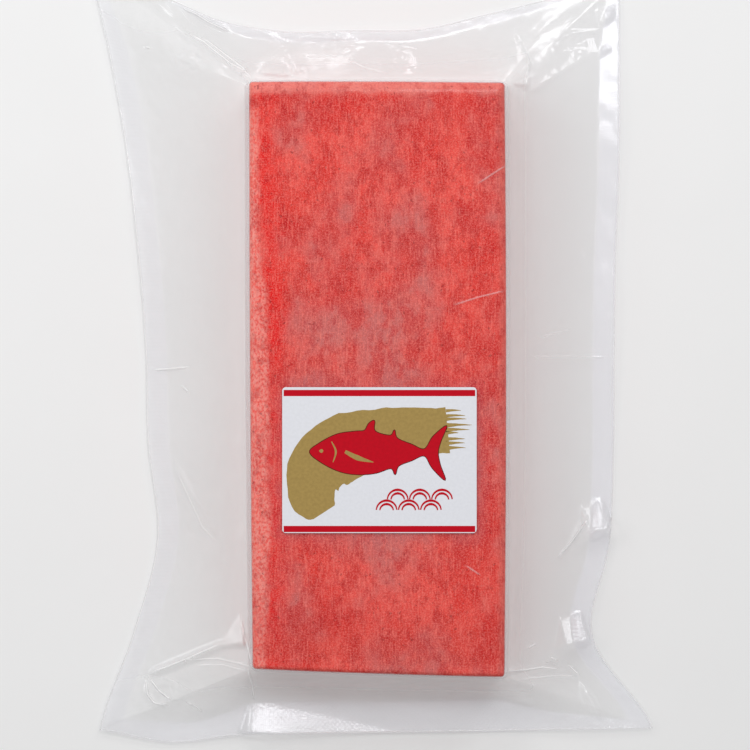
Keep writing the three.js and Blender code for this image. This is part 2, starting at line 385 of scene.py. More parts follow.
def fleshMaterial():  # deep red under a fine pale speckle, with soft light inside and hardly any shine, and painted light and shade in bands along the edges and round the label
    material, tree = newMaterial("raw_tuna_flesh")
    place = addNode(tree, "TexCoord").outputs["Object"]
    colour = addNode(tree, "RGB").outputs[0]
    colour.default_value = linearColour(tuna["base"])

    def laid(colour, hexCode, mask):
        mix = addNode(tree, "Mix", {7: linearColour(hexCode)}, {0: mask, 6: colour}, data_type="RGBA")
        return mix.outputs[2]

    def laidPatterns(colour, patterns, firstSeed):
        for seed, (across, along, detail, low, high, hexCode, share) in enumerate(patterns, firstSeed):
            spots = patternNode(tree, place, across, along, detail, seed)
            colour = laid(colour, hexCode, rangeNode(tree, spots, low, high, 0, share))
        return colour

    colour = laidPatterns(colour, tuna["patterns"], 0)  # the seeds keep all patterns apart
    # bands along the edges, most of them painted light and shade
    for seed, band in enumerate(tuna["bands"]):
        layer, riseFrom, riseTo, fallFrom, fallTo, wobble, patchy, size, hexCode, share = band
        inward = addNode(tree, "Attribute", attribute_name=layer).outputs["Fac"]
        wander = patternNode(tree, place, *tuna["wander"], seed + 20)
        wander = rangeNode(tree, wander, 0.25, 0.75, -wobble, wobble)
        inward = addNode(tree, "Math", links={0: inward, 1: wander}, operation="ADD").outputs[0]
        rising = rangeNode(tree, inward, riseFrom, riseTo, 0, share)
        falling = rangeNode(tree, inward, fallFrom, fallTo, 1, 0)
        patches = patternNode(tree, place, size, tuna["patchLength"] * size, 3, seed + 40)
        patches = rangeNode(tree, patches, 0.38, 0.58, 1 - patchy, 1)
        mask = addNode(tree, "Math", links={0: rising, 1: falling}, operation="MULTIPLY").outputs[0]
        mask = addNode(tree, "Math", links={0: mask, 1: patches}, operation="MULTIPLY").outputs[0]
        colour = laid(colour, hexCode, mask)
    colour = laidPatterns(colour, tuna["grains"], 3)
    # frost on the lower sides, partly a painted highlight that whitens them
    rise = addNode(tree, "SeparateXYZ", links={0: place}).outputs[2]
    lowest, highest = tuna["frostRise"]
    frosted = rangeNode(tree, rise, lowest * mm, highest * mm, tuna["frostShare"], 0)
    patches = patternNode(tree, place, *tuna["frostPatches"], 62)
    patches = rangeNode(tree, patches, 0.36, 0.62, 0.25, 1)
    frosted = addNode(tree, "Math", links={0: frosted, 1: patches}, operation="MULTIPLY").outputs[0]
    colour = laid(colour, tuna["frost"], frosted)
    grain = patternNode(tree, place, tuna["grainSize"], tuna["grainSize"], 2, 61)
    bump = addNode(tree, "Bump", {"Strength": 1.0, "Distance": tuna["grainDepth"] * mm}, {"Height": grain})
    surface = addNode(tree, "BsdfPrincipled", {
        "Roughness": tuna["roughness"], "IOR": tuna["ior"], "Specular IOR Level": tuna["shine"],
        "Subsurface Weight": tuna["glow"], "Subsurface Scale": tuna["glowReach"] * mm,
        "Subsurface Radius": (1.0, 0.3, 0.2),  # red goes furthest
    }, {"Base Color": colour, "Normal": bump.outputs[0]})
    addNode(tree, "OutputMaterial", links={"Surface": surface.outputs["BSDF"]})
    return material


points, faces = tunaMesh()
edges = fromEdges(points)
pastRimeAndSheen = edges[3] - np.interp(points[:, 1], *zip(*tuna["frostReach"]))
tunaPiece = meshObject("tuna_flesh", points, faces, fleshMaterial(), {
    "fromNear": edges[0], "fromRight": edges[1], "fromFar": edges[2], "pastRimeAndSheen": pastRimeAndSheen,
    "fromLabel": fromLabel(points),
})
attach(tunaPiece, "root")
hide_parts("tuna_block")
print("tuna block:", len(points), "points")


# Pouch: clear nylon and polyethylene film, sealed flat on four sides and drawn in by the vacuum

pouch = {
    "corners": [(-79.5, -101.0), (78.5, -100.5), (69.0, 113.5), (-82.0, 117.5)],
    "drawnIn": [                # at each eighth of a side, from its first corner to its last
        [0, -3.6, -1.6, -1.1, -1.1, -0.9, -0.6, -0.2, 0],
        [0, 15.9, 9.9, 7.5, 6.2, 4.6, 2.4, 1.0, 0],
        [0, 5.8, 11.0, 15.8, 16.6, 17.4, 14.8, 7.4, 0],
        [0, 5.2, 9.6, 12.4, 14.2, 14.6, 17.0, 9.8, 0],
    ],
    "film": 0.2,                # thickness of the two films where they are sealed
    "cling": 0.15,              # gap to the tuna
    "rootHeight": [8.5, 8.5, 5.0, 8.5],  # where the two films part round the block, side by side
    "rootOffset": 1.7,          # and how far out from the block
    "backDrop": 3.0,            # the back film leaves the block that much lower
    "floorGap": 0.03,           # under the back film
    "footHeight": 0.6,
    "lowest": 0.35,             # of the front film's middle
    "edgeHeight": 1.3,          # of the sealed edge
    "fall": 1.15,               # above 1 the film sags between the block and the seal
    # cells across, along and round half a corner, for the film over the block, round it and under it
    "over": {"across": 74, "along": 172, "arc": 2},
    "free": {"across": 132, "along": 222, "arc": 36},
    "under": {"across": 30, "along": 70, "arc": 2},
    "outRings": 72,
    "outCrowding": 1.12,        # above 1 the rings crowd towards the block
    "backRings": 9,
    "sealRings": 12,
    "sealReach": 10.0,          # how far in the back film's fine rings go
    "wallRings": 10,
    "wallBow": 1.4,             # above 1 the bridging film curves in towards the block
    "edgeRings": 8,
    "waves": [(5, 0.4, 0.8), (13, 0.3, 2.1)],  # of the free edge: count, height, phase
    "seal": [9.0, 6.0, 3.0, 6.0],  # width by side
    "sealBlend": 0.3,
    "backFollow": 1.5,          # width of the seal over which the back film takes up the folds
    "hazeAndSheen": [0.13, 0.04, 0.17, 0.26],  # clouding of the free film by side, partly a painted sheen that brightens each side's film
    "rootPaintedLight": 0.38,           # painted light that lifts the shade next to the block
    "rootPaintedLightFall": 4,
    "wallPaintedSheen": 0.38,           # painted sheen where the film bridges down the sides of the block
    "wallPaintedSheenFall": 0.8,
    "cloudAndSheenRoughness": 0.6,
    "wrinkle": 0.10,
    "wrinkleSize": 5.0,
    "ribPitch": 1.1,
    "ribDepth": 0.012,
    "knurlPitch": 1.4,          # two dots a turn, drawn coarser than the real 1.2 mm
    "knurlDepth": 0.028,
    "knurlWorn": 0.4,           # its strength at the left of the near seal
    "knurlWornTo": (0.07, 0.10),  # worn up to the first share of the way round, full past the second
    "creaseDepth": 0.22,
    "creaseWidth": 0.42,        # half of it
    # whitening of the creases: partly the film's stress whitening, partly a painted highlight
    "creaseHazeAndSheen": 0.6,
    "creaseEnds": 0.2,          # share of a crease over which each end fades
    "creaseFade": (1.0, 1.8),   # how far to its side it starts to fade and is gone
    "farFromCrease": 5.0,
    "rimRidgeAndHighlight": 0.5,                 # painted highlight along the cut edge, which also raises a small ridge
    "rimRidgeAndHighlightWidth": (0.1, 0.5),     # full up to the first and gone past the second
    "farFromEdge": 60.0,        # stands for anywhere away from the edge
    "tint": "#FFFFFF",          # of the light that goes through
    "sealTint": "#FDFDFE",
    "shine": "#FBFBFF",
    "gloss": 0.06,              # share of light that each film reflects straight on
    "clingGloss": 0.012,        # less where it lies wet on the flesh
    "grazingGloss": 0.95,       # and how much it gains towards a grazing view
    "roughness": 0.15,
}

# Folds that stand up from the film: crest, width to its left and right, rise, how flat the flanks are,
# and the share of the length over which each end tapers
folds = [
    # far right
    ([(41.7, 79.7), (51.0, 85.8), (59.4, 90.9), (67.2, 93.9)], 5.0, 1.4, 1.7, 0.8, 0.15, 0.15),
    ([(42.2, 80.6), (43.0, 88.6), (40.6, 95.3), (37.6, 101.1)], 5.0, 1.0, 2.0, 0.8, 0.1, 0.9),
    ([(63.3, 100.3), (66.3, 103.0), (67.4, 105.9)], 4.0, 1.2, 1.6, 0.7, 0.3, 0.3),
    ([(49.6, 95.6), (55.2, 97.9), (62.2, 98.4), (65.0, 100.4)], 1.2, 0.8, 0.5, 0.3, 0.2, 0.2),
    # far edge
    ([(7.8, 85.8), (7.3, 90.0), (5.6, 93.1), (2.0, 95.0)], 0.9, 3.4, 1.1, 0.7, 0.2, 0.4),
    ([(-22.8, 85.8), (-24.1, 88.5), (-26.8, 93.4), (-31.6, 97.9), (-36.0, 99.3)],
     1.0, 3.6, 1.0, 0.7, 0.05, 0.9),
    ([(-34.0, 86.6), (-25.0, 85.8)], 4.0, 1.0, 0.9, 0.7, 0.2, 0.1),
    # far left
    ([(-56.3, 105.4), (-51.8, 103.5), (-48.4, 101.2), (-42.0, 98.4)], 1.4, 1.4, 0.7, 0.2, 0.2, 0.2),
    ([(-66.0, 114.0), (-54.0, 98.0), (-42.0, 89.2), (-37.0, 86.0)], 3.0, 3.0, 0.8, 0.1, 0.3, 0.2),
    # near left
    ([(-45.4, -76.6), (-37.6, -75.8)], 8.6, 0.9, 1.7, 0.95, 0.9, 0.04),
    ([(-66.0, -85.0), (-60.8, -83.0), (-54.0, -80.2), (-45.0, -76.2), (-40.0, -75.6)],
     1.4, 2.4, 1.2, 0.3, 0.1, 0.2),
    ([(-59.6, -93.9), (-63.8, -93.1), (-65.8, -90.6), (-66.2, -86.0)], 1.2, 1.2, 0.5, 0.2, 0.2, 0.2),
    # left slant
    ([(-43.7, -49.1), (-48.4, -41.6), (-52.6, -34.6), (-58.8, -23.4)], 2.6, 1.4, 0.45, 0.5, 0.9, 0.2),
    # right pucker
    ([(51.0, -51.9), (55.2, -47.2), (57.9, -43.5), (59.9, -40.2)], 1.6, 1.4, 1.3, 0.4, 0.9, 0.1),
    ([(58.8, -46.0), (67.2, -43.2)], 9.0, 0.9, 4.5, 0.95, 0.2, 0.1),
    # near right
    ([(50.4, -77.8), (60.3, -75.2)], 8.6, 1.0, 4.5, 0.95, 0.35, 0.02),
    ([(35.8, -83.6), (46.0, -83.0), (52.6, -83.6)], 1.0, 1.4, 0.5, 0.2, 0.1, 0.2),
    ([(64.5, -99.0), (61.2, -92.0), (57.4, -86.4)], 3.0, 2.0, 1.3, 0.1, 0.3, 0.3),
    # near seal
    ([(-39.0, -101.4), (-30.0, -101.9), (8.0, -102.0)], 9.5, 0.8, 2.9, 0.9, 0.04, 0.9),
    # right ridge
    ([(40.3, 47.5), (51.0, 43.8), (58.8, 36.8), (60.2, 32.0)], 3.2, 2.4, 0.9, 0.1, 0.3, 0.3),
]

# Sharp creases, too thin for the mesh: line and strength
creases = [
    ([(-56.3, 105.4), (-51.8, 103.5), (-48.4, 101.2), (-42.0, 98.4)], 1.0),
    ([(-54.3, 98.1), (-49.8, 95.6), (-42.0, 89.2), (-37.0, 86.7)], 0.8),
    ([(-35.6, 84.1), (-38.6, 88.1), (-43.7, 92.0), (-48.4, 95.6), (-51.2, 97.0)], 0.8),
    ([(-66.6, 94.0), (-64.8, 93.8)], 0.8),
    ([(-64.7, 1.8), (-59.6, 2.1), (-53.5, 2.7)], 0.8),
    ([(-56.0, -2.7), (-54.3, -4.3)], 0.9),
    ([(-57.0, -28.0), (-50.0, -43.0), (-45.6, -47.2)], 0.25),
    ([(-66.0, -85.0), (-60.8, -83.0), (-54.0, -80.2), (-45.0, -76.0)], 1.0),
    ([(-35.3, -82.5), (-38.6, -81.6), (-45.6, -80.2), (-54.0, -80.8)], 0.6),
    ([(-52.0, -82.2), (-44.0, -82.0), (-37.0, -83.6)], 0.4),
    ([(-66.4, -85.8), (-65.8, -90.6), (-63.8, -93.1), (-59.6, -93.9)], 0.9),
    ([(-59.0, -92.2), (-62.6, -89.4), (-65.0, -86.4)], 1.0),
    ([(-54.9, -92.8), (-51.8, -93.9), (-49.8, -96.2)], 0.6),
    ([(-37.0, -82.6), (-35.8, -87.8), (-35.3, -92.5)], 0.7),
    ([(-38.9, -69.0), (-37.8, -73.8), (-35.6, -81.6)], 0.7),
    ([(35.8, -83.6), (42.0, -83.3), (46.9, -82.7), (52.6, -83.6)], 1.0),
    ([(57.4, -85.6), (51.0, -85.2), (40.0, -85.9)], 0.5),
    ([(54.3, -82.2), (57.4, -85.2)], 1.0),
    ([(48.7, -79.7), (51.5, -81.1)], 0.6),
    ([(42.6, -77.2), (45.0, -76.0)], 0.6),
    ([(51.0, -51.9), (55.2, -47.2), (57.9, -43.5), (59.9, -40.2)], 0.9),
    ([(42.6, 5.5), (52.0, 5.8), (66.4, 5.5)], 0.35),
    ([(45.4, 11.0), (55.2, 13.6)], 0.3),
    ([(-21.0, 91.4), (-11.8, 91.4)], 0.4),
    ([(-8.4, 90.6), (-3.9, 88.1), (2.0, 86.6)], 0.4),
    ([(6.2, 94.5), (10.6, 93.9)], 0.6),
    ([(27.6, 53.8), (36.2, 59.4)], 0.4),
    ([(20.4, 19.8), (28.0, 22.2), (36.2, 24.2)], 0.4),
    ([(24.4, -52.8), (28.8, -55.7)], 0.4),
]

crumples = [  # balled-up film: centre, half lengths, rise and size of the grains
    ((-13.4, 95.1), (9.0, 3.2), 0.9, 2.2),
    ((-50.0, -94.5), (6.5, 2.6), 0.5, 1.8),
    ((-61.0, -89.0), (4.0, 4.0), 0.4, 2.0),
    ((55.0, 95.0), (8.0, 4.0), 0.4, 3.0),
    ((48.0, -79.5), (6.0, 3.5), 0.4, 2.6),
    ((-54.0, 90.0), (7.0, 5.0), 0.3, 3.2),
]


def splineAt(values, share):  # a smooth curve through evenly spaced values
    place = np.clip(share, 0, 1) * (len(values) - 1)
    index = np.minimum(place.astype(int), len(values) - 2)
    t = place - index
    v = np.asarray(values, float)
    a, b, c, d = v[np.maximum(index - 1, 0)], v[index], v[index + 1], v[np.minimum(index + 2, len(v) - 1)]
    slopeB, slopeC = (c - a) / 2, (d - b) / 2
    cubic, square = 2 * b - 2 * c + slopeB + slopeC, 3 * c - 3 * b - 2 * slopeB - slopeC
    return cubic * t**3 + square * t**2 + slopeB * t + b


def pouchEdge(layout):  # the sealed edge, one point for each in the block's ring, and how far round each is
    sides = planSides(pouch["corners"])
    points, rounds = [], []
    arc = layout["arc"]
    for k, side in enumerate(sides):
        first, last = [
            (np.array(blockPlan["corners"][corner % 4]) - side["start"]) @ side["along"] / side["length"]
            for corner in (k, k + 1)
        ]
        shares = [first * i / arc for i in range(arc)]
        shares += list(first + (last - first) * sideShares(k, layout))
        shares += [last + (1 - last) * i / arc for i in range(1, arc)]
        shares = np.array(shares)
        pulled = splineAt(pouch["drawnIn"][k], shares)
        straight = side["start"] + np.outer(shares * side["length"], side["along"])
        points.append(straight - np.outer(pulled, side["out"]))
        rounds.append((k + shares) / 4)
    return np.vstack(points), np.concatenate(rounds)


def besidePath(points, path):  # nearest distance, distance to the left of the line, and share of its length
    path = np.array(path, float)
    runs = np.diff(path, axis=0)
    lengths = np.linalg.norm(runs, axis=1)
    reached = np.concatenate([[0], np.cumsum(lengths)])
    nearest = np.full(len(points), np.inf)
    side, share = np.zeros(len(points)), np.zeros(len(points))
    for start, run, length, before in zip(path, runs, lengths, reached):
        offset = points[:, :2] - start
        t = np.clip(offset @ run / length**2, 0, 1)
        away = np.linalg.norm(offset - np.outer(t, run), axis=1)
        better = away < nearest
        nearest[better] = away[better]
        side[better] = ((run[0] * offset[:, 1] - run[1] * offset[:, 0]) / length)[better]
        share[better] = ((before + t * length) / reached[-1])[better]
    return nearest, side, share


def filmRelief(points):
    rise = np.zeros(len(points))
    for path, left, right, height, flat, start, end in folds:
        away, side, share = besidePath(points, path)
        taper = np.minimum(1, np.minimum(share / start, (1 - share) / end))
        width = np.where(side > 0, left, right) * np.maximum(taper, 0.05)
        t = np.clip(away / width, 0, 1)
        rise += height * taper * (flat * (1 - t) + (1 - flat) * (1 - t) ** 2 * (1 + 2 * t))
    for seed, (centre, half, height, size) in enumerate(crumples):
        inside = 1 - np.linalg.norm((points[:, :2] - centre) / half, axis=1)
        spots = np.flatnonzero(inside > 0)
        grain = 1 - 2 * np.abs(noiseAt(points[spots], size, 2, seed + 3.5))
        rise[spots] += height * np.minimum(1, 2 * inside[spots]) * np.maximum(grain, 0)
    return rise + pouch["wrinkle"] * noiseAt(points, pouch["wrinkleSize"], 3, 8.5)


def creaseLayers(points):  # signed distance to the nearest sharp crease and how strong it is there
    nearest = np.full(len(points), np.inf)
    far = pouch["farFromCrease"]
    sides, strengths = np.full(len(points), far), np.zeros(len(points))
    for path, strength in creases:
        away, side, share = besidePath(points, path)
        better = away < nearest
        nearest[better] = away[better]
        sides[better] = side[better]
        ends = smoothStep(0, pouch["creaseEnds"], share) * smoothStep(0, pouch["creaseEnds"], 1 - share)
        strengths[better] = (strength * ends * (1 - smoothStep(*pouch["creaseFade"], away)))[better]
    return np.clip(sides, -far, far), strengths


def bySide(values, rounds):  # steady along each side and blended round the corners
    corners = [(a + b) / 2 for a, b in zip([values[-1]] + values[:-1], values)]
    first, last = 0.02, 0.23  # from where to where in its quarter of the way round a side is steady
    spots = [x for k in range(4) for x in (k / 4, k / 4 + first, k / 4 + last)] + [1]
    heights = [x for k in range(4) for x in (corners[k], values[k], values[k])] + [corners[0]]
    return np.interp(rounds % 1, spots, heights)


def baseHeight(rounds, fromEdge, reach, seal):  # the film falls to the seal, which lies almost flat
    out = 1 - fromEdge / reach
    share = np.clip((fromEdge - seal) / (reach - seal), 0, 1)
    root = bySide(pouch["rootHeight"], rounds)
    height = pouch["edgeHeight"] + (root - pouch["edgeHeight"]) * share ** pouch["fall"]
    for count, rise, phase in pouch["waves"]:
        height = height + rise * out * np.sin(count * 2 * math.pi * rounds + phase)
    return height


def pouchMesh():
    under, free, over = pouch["under"], pouch["free"], pouch["over"]
    cling, film = pouch["cling"], pouch["film"]
    root = levelRing(pouch["rootOffset"], 0, free)[:, :2]
    edge, rounds = pouchEdge(free)
    reach = np.linalg.norm(edge - root, axis=1)
    seal = bySide(pouch["seal"], rounds)
    hazeAndSheen = bySide(pouch["hazeAndSheen"], rounds)
    run = np.concatenate([[0], np.cumsum(np.linalg.norm(np.diff(edge, axis=0), axis=1))])
    worn = pouch["knurlWorn"]
    knurl = worn + (1 - worn) * smoothStep(*pouch["knurlWornTo"], rounds)
    knurl = np.where(rounds < 0.25, knurl, 0)  # on the near seal alone
    rings, layers = [], []

    def addRing(ring, fromEdge=pouch["farFromEdge"], front=0.0, hazeAndSheen=0.0, isFree=0.0):
        whole = len(ring) == len(rounds)  # rings over and under the block have fewer points
        blend = pouch["sealBlend"]
        inSeal = smoothStep(blend, -blend, fromEdge - seal) if whole else 0
        along, dotted = (run, inSeal * knurl) if whole else (0, 0)
        rings.append(ring)
        values = (fromEdge, along, front, hazeAndSheen, inSeal, dotted, isFree)
        layers.append(np.stack([np.full(len(ring), value, float) for value in values]))

    def addFlange(out, lift, front):
        plan = root + (edge - root) * out
        # painted light next to the block, added to the side's clouding and sheen
        cloudAndSheen = hazeAndSheen + pouch["rootPaintedLight"] * front * (1 - out) ** pouch["rootPaintedLightFall"]
        fromEdge = reach * (1 - out)
        flat = 0 if front else smoothStep(-pouch["backFollow"], 0, fromEdge - seal)  # back film only
        height = baseHeight(rounds, fromEdge, reach, seal) + filmRelief(plan) * (1 - flat) + lift
        height = np.maximum(height, pouch["lowest"] + lift)
        addRing(np.column_stack([plan, height]), fromEdge, front, cloudAndSheen, 1)

    addRing(levelRing(0.0, pouch["floorGap"], under))
    addRing(levelRing(cling, pouch["footHeight"], free))
    lowRing = levelRing(cling, pouch["footHeight"], free)
    lowRing[:, 2] = bySide(pouch["rootHeight"], rounds) - pouch["backDrop"]
    addRing(lowRing)
    sealShare = 1 - pouch["sealReach"] / reach.mean()
    for i in range(pouch["backRings"]):
        addFlange(sealShare * i / pouch["backRings"], -film / 2, 0)
    for i in range(pouch["sealRings"] + 1):
        addFlange(sealShare + (1 - sealShare) * i / pouch["sealRings"], -film / 2, 0)
    for i in range(pouch["outRings"], -1, -1):
        addFlange((i / pouch["outRings"]) ** pouch["outCrowding"], film / 2, 1)
    foot = rings[-1][:, 2]
    sideTop = blockPlan["height"] - max(blockPlan["topDrop"])
    for i in range(1, pouch["wallRings"]):
        climb = i / pouch["wallRings"]
        offset = cling + (pouch["rootOffset"] - cling) * (1 - climb) ** pouch["wallBow"]
        wall = levelRing(offset, 0, free)
        wall[:, 2] = foot + (sideTop - foot) * climb
        # painted sheen down the block's sides, strongest at the foot
        addRing(wall, front=1, hazeAndSheen=pouch["wallPaintedSheen"] * (1 - climb) ** pouch["wallPaintedSheenFall"])
    for i in range(pouch["edgeRings"]):
        addRing(topEdgeRing(i / (pouch["edgeRings"] - 1), cling, over), front=1)
    back = (under, lambda p: np.full(len(p), pouch["floorGap"]))
    front = (over, lambda p: blockTop(p) + cling)
    points, faces = buildSkin(rings, back, front)
    layer = np.concatenate(layers, axis=1)
    rest = len(points) - layer.shape[1]
    belowCount = (under["across"] - 1) * (under["along"] - 1)
    patch = np.zeros((len(layer), rest))
    patch[0], patch[2] = pouch["farFromEdge"], 1.0
    patch[2, :belowCount] = 0
    return points, faces, np.concatenate([layer, patch], axis=1)


def filmMaterial():  # clear, with white glare on its folds and a faint white layer: clouding and crease whitening, with painted highlights on creases and the cut edge and painted sheen
    material, tree = newMaterial("clear_nylon_film")
    place = addNode(tree, "TexCoord").outputs["Object"]
    read = {
        name: addNode(tree, "Attribute", attribute_name=name).outputs["Fac"]
        for name in ("fromEdge", "edgeRun", "creaseSide", "creaseStrength", "hazeAndSheen", "seal", "knurl", "free")
    }

    def joined(operation, first, last):
        return addNode(tree, "Math", links={0: first, 1: last}, operation=operation).outputs[0]

    side = addNode(tree, "Math", links={0: read["creaseSide"]}, operation="ABSOLUTE").outputs[0]
    line = rangeNode(tree, side, 0.0, pouch["creaseWidth"], 1, 0)
    line = joined("MULTIPLY", line, read["creaseStrength"])
    # painted highlight along the cut edge, also raised as a ridge by the bump
    rimRidgeAndHighlight = rangeNode(tree, read["fromEdge"], *pouch["rimRidgeAndHighlightWidth"], pouch["rimRidgeAndHighlight"], 0)
    line = joined("MAXIMUM", line, rimRidgeAndHighlight)
    turns = addNode(tree, "Math", {1: 2 * math.pi / pouch["ribPitch"]}, {0: read["edgeRun"]},
                    operation="MULTIPLY")
    rib = addNode(tree, "Math", links={0: turns.outputs[0]}, operation="SINE").outputs[0]
    rib = joined("MULTIPLY", rib, read["seal"])
    grid = addNode(tree, "VectorMath", {1: [2 * math.pi / (pouch["knurlPitch"] * mm)] * 3}, {0: place},
                   operation="MULTIPLY")
    grid = addNode(tree, "VectorMath", links={0: grid.outputs[0]}, operation="SINE").outputs[0]
    axes = addNode(tree, "SeparateXYZ", links={0: grid}).outputs
    dots = joined("MULTIPLY", axes[0], axes[1])
    dots = joined("MULTIPLY", dots, read["knurl"])
    relief = addNode(tree, "Math", {1: pouch["ribDepth"]}, {0: rib}, operation="MULTIPLY").outputs[0]
    for depth, shape in ((pouch["knurlDepth"], dots), (pouch["creaseDepth"], line)):
        relief = addNode(tree, "Math", {1: depth}, {0: shape, 2: relief}, operation="MULTIPLY_ADD")
        relief = relief.outputs[0]
    bump = addNode(tree, "Bump", {"Strength": 1.0, "Distance": mm}, {"Height": relief}).outputs[0]
    tint = addNode(tree, "Mix", {6: linearColour(pouch["tint"]), 7: linearColour(pouch["sealTint"])},
                   {0: read["seal"]}, data_type="RGBA").outputs[2]
    clear = addNode(tree, "BsdfTransparent", links={"Color": tint})
    gloss = addNode(tree, "BsdfPrincipled", {
        "Base Color": linearColour(pouch["shine"]), "Metallic": 1.0, "Roughness": pouch["roughness"],
    }, {"Normal": bump})
    cloudAndSheen = addNode(tree, "BsdfPrincipled", {
        "Base Color": linearColour("#FFFFFF"), "Roughness": pouch["cloudAndSheenRoughness"],
    }, {"Normal": bump})
    facing = addNode(tree, "LayerWeight", {"Blend": 0.5}, {"Normal": bump}).outputs["Facing"]
    grazing = addNode(tree, "Math", {1: 5.0}, {0: facing}, operation="POWER").outputs[0]
    straight = rangeNode(tree, read["free"], 0, 1, pouch["clingGloss"], pouch["gloss"])
    share = addNode(tree, "Math", {1: pouch["grazingGloss"]}, {0: grazing, 2: straight},
                    operation="MULTIPLY_ADD", use_clamp=True).outputs[0]
    film = addNode(tree, "MixShader", links={0: share, 1: clear.outputs[0], 2: gloss.outputs[0]}).outputs[0]
    # white layer: the film's clouding and crease whitening, with painted highlights on the creases and cut
    # edge and painted sheen by side, at the root and down the walls
    hazeAndSheen = addNode(tree, "Math", {1: pouch["creaseHazeAndSheen"]}, {0: line, 2: read["hazeAndSheen"]},
                   operation="MULTIPLY_ADD", use_clamp=True)
    film = addNode(tree, "MixShader", links={0: hazeAndSheen.outputs[0], 1: film, 2: cloudAndSheen.outputs[0]}).outputs[0]
    addNode(tree, "OutputMaterial", links={"Surface": film})
    return material


points, faces, layers = pouchMesh()
sides, strengths = creaseLayers(points)
pouchPiece = meshObject("pouch_film", points, faces, filmMaterial(), {
    "fromEdge": layers[0], "edgeRun": layers[1],
    "creaseSide": sides, "creaseStrength": strengths * layers[2],  # on the front film alone
    "hazeAndSheen": layers[3], "seal": layers[4], "knurl": layers[5], "free": layers[6],
})
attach(pouchPiece, "root")
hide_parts("vacuum_pouch")
print("pouch film:", len(points), "points,", len(faces), "faces")


# Label: coated paper, printed in red and gold

def paperMaterial(name, hexCode, roughness, fleck):  # flat and even, with a trace of fibre in the tone
    material, tree = newMaterial(name)
    place = addNode(tree, "TexCoord").outputs["Object"]
    tone = patternNode(tree, place, label["fibre"], label["fibre"], 4, 3)
    tone = rangeNode(tree, tone, 0.3, 0.7, 1 - fleck, 1 + fleck)
    colour = addNode(tree, "VectorMath", {0: linearColour(hexCode)[:3]}, {"Scale": tone}, operation="SCALE")
    surface = addNode(tree, "BsdfPrincipled", {
        "Roughness": roughness, "Specular IOR Level": label["shine"],
    }, {"Base Color": colour.outputs[0]})
    addNode(tree, "OutputMaterial", links={"Surface": surface.outputs["BSDF"]})
    return material


def plate(outlines, low, high):  # thin flat prints, each outline anticlockwise in the label's own plan
    points, faces = [], []
    for outline in outlines:
        spots = np.array(outline) + label["centre"]
        count, first = len(spots), len(points)
        points += [(x, y, low) for x, y in spots] + [(x, y, high) for x, y in spots]
        faces.append(tuple(range(first + count - 1, first - 1, -1)))
        faces.append(tuple(range(first + count, first + 2 * count)))
        for i in range(count):
            j = (i + 1) % count
            faces.append((first + i, first + j, first + count + j, first + count + i))
    return points, faces


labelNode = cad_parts["label"]
labelNode.data.materials.clear()
labelNode.data.materials.append(
    paperMaterial("coated_label_paper", label["paper"], label["roughness"], label["fleck"]))


def smoothOutline(corners, steps=6, closed=True):  # a smooth curve through a few corners
    spots = np.array(corners, float)
    count = len(spots)
    outline = []
    for i in range(count if closed else count - 1):
        if closed:
            a, b, c, d = (spots[(i + n) % count] for n in (-1, 0, 1, 2))
        else:
            a, b, c, d = (spots[min(max(i + n, 0), count - 1)] for n in (-1, 0, 1, 2))
        for t in np.arange(steps) / steps:
            outline.append(0.5 * (2 * b + (c - a) * t + (2 * a - 5 * b + 4 * c - d) * t**2
                                  + (3 * b - a - 3 * c + d) * t**3))
    if not closed:
        outline.append(spots[-1])
    return np.array(outline)


def stroke(path, widths, ragged=0.0, grain=1.0, seed=0.0):  # a brush stroke with its width at each corner
    spine = smoothOutline(path, 10, closed=False)
    share = np.linspace(0, 1, len(spine))
    half = np.interp(share, np.linspace(0, 1, len(widths)), widths) / 2
    run = np.gradient(spine, axis=0)
    across = np.column_stack([-run[:, 1], run[:, 0]]) / np.linalg.norm(run, axis=1)[:, None]
    left, right = spine + across * half[:, None], spine - across * half[:, None]
    outline = np.vstack([right, left[::-1]])
    return outline + ragged * np.column_stack([noiseAt(outline, grain, 2, seed + s) for s in (0.5, 9.5)])


gold = [stroke([(-15.5, -14.5), (-18.4, -9.5), (-16.6, -1.5), (-8.0, 4.2), (6.0, 7.2), (19.2, 8.4)],
               [7.0, 13.0, 15.5, 18.0, 19.0, 16.5, 14.0, 12.5], 0.35, 3.0, 3.0)]
random.seed(11)
bristles = []
start, count = label["bristles"]["start"], label["bristles"]["count"]
for i in range(count):
    height = label["bristles"]["lowest"] + label["bristles"]["spread"] * i / (count - 1)
    height += random.uniform(-0.3, 0.3)
    reach = random.uniform(*label["bristles"]["ends"])
    bristles.append(stroke([(start, height), ((start + reach) / 2, height + 0.15), (reach, height + 0.1)],
                           [random.uniform(0.9, 1.5), 0.6, 0.05], 0.05, 0.8, i))

fish = smoothOutline([
    (-19.5, 2.2), (-17.0, 4.6), (-12.0, 7.2), (-7.0, 8.0), (-4.2, 8.3), (-3.0, 10.2), (-1.4, 11.0),
    (-1.2, 8.1), (3.0, 6.9), (4.2, 8.4), (5.0, 6.1), (9.0, 4.4), (12.6, 3.1), (15.0, 6.6), (18.8, 9.6),
    (17.2, 5.4), (16.4, 2.2), (17.0, -1.4), (18.4, -5.6), (14.8, -2.2), (12.6, 1.2), (9.0, -0.1),
    (5.4, -1.6), (4.4, -4.0), (3.2, -2.3), (-1.0, -3.6), (-6.0, -4.0), (-11.0, -3.2), (-16.0, -0.8),
][::-1], 5)
fin = stroke([(-9.6, 2.4), (-6.0, 0.6), (-1.6, -0.6)], [0.9, 1.5, 0.1])
gill = stroke([(-13.4, 5.2), (-12.2, 2.4), (-13.0, -0.6)], [0.25, 0.6, 0.2])
